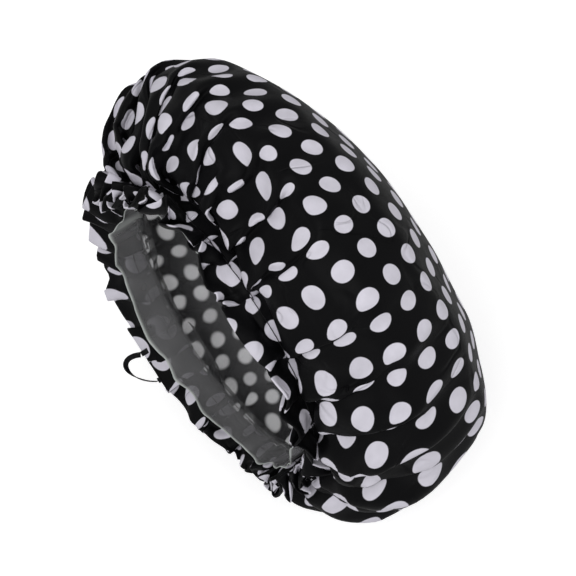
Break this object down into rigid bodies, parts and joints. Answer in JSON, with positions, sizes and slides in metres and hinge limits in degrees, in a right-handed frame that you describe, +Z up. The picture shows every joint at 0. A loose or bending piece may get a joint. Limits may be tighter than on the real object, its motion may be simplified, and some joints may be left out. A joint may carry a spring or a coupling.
{
  "type": "shower cap",
  "caption": "Bouffant double-layer shower cap lying on its side: gathered dotted cloth bag, waterproof film liner, elastic mouth with a turned frill and a ribbon hanging loop.",
  "frame": {"origin": "under the middle of the cap's box, on the surface that the cap lies on", "axes": "+X along the cap's axis from the mouth to the crown, +Z up as the cap lies on its side, +Y across the mouth"},
  "size_m": [0.1582, 0.2908, 0.2836],
  "materials": {
    "dotted_cloth": "black satin-like woven cloth with printed white dots, soft sheen",
    "liner_film": "hazy translucent waterproof film",
    "elastic": "knitted flat elastic",
    "thread": "black polyester sewing thread",
    "ribbon": "narrow black woven ribbon"
  },
  "bodies": {
    "cap": {"outer_fabric": "dotted_cloth", "frill_hem": "dotted_cloth", "waterproof_liner": "liner_film", "elastic_band": "elastic", "elastic_join_stitch": "thread", "casing_thread_crown_row_outside": "thread", "casing_thread_crown_row_inside": "thread", "casing_thread_mouth_row_outside": "thread", "casing_thread_mouth_row_inside": "thread", "loop_end_upper": "ribbon", "loop_end_lower": "ribbon", "loop_tack_upper": "thread", "loop_tack_lower": "thread"},
    "loop": {"hanging_loop": "ribbon"}
  },
  "joints": [
    {"name": "loop_swing", "type": "hinge", "parent": "cap", "child": "loop", "pos_m": [-0.06177, 0.04992, 0.05048], "axis": [0, 0.866, 0.5], "range_deg": [-110, 70]}
  ]
}
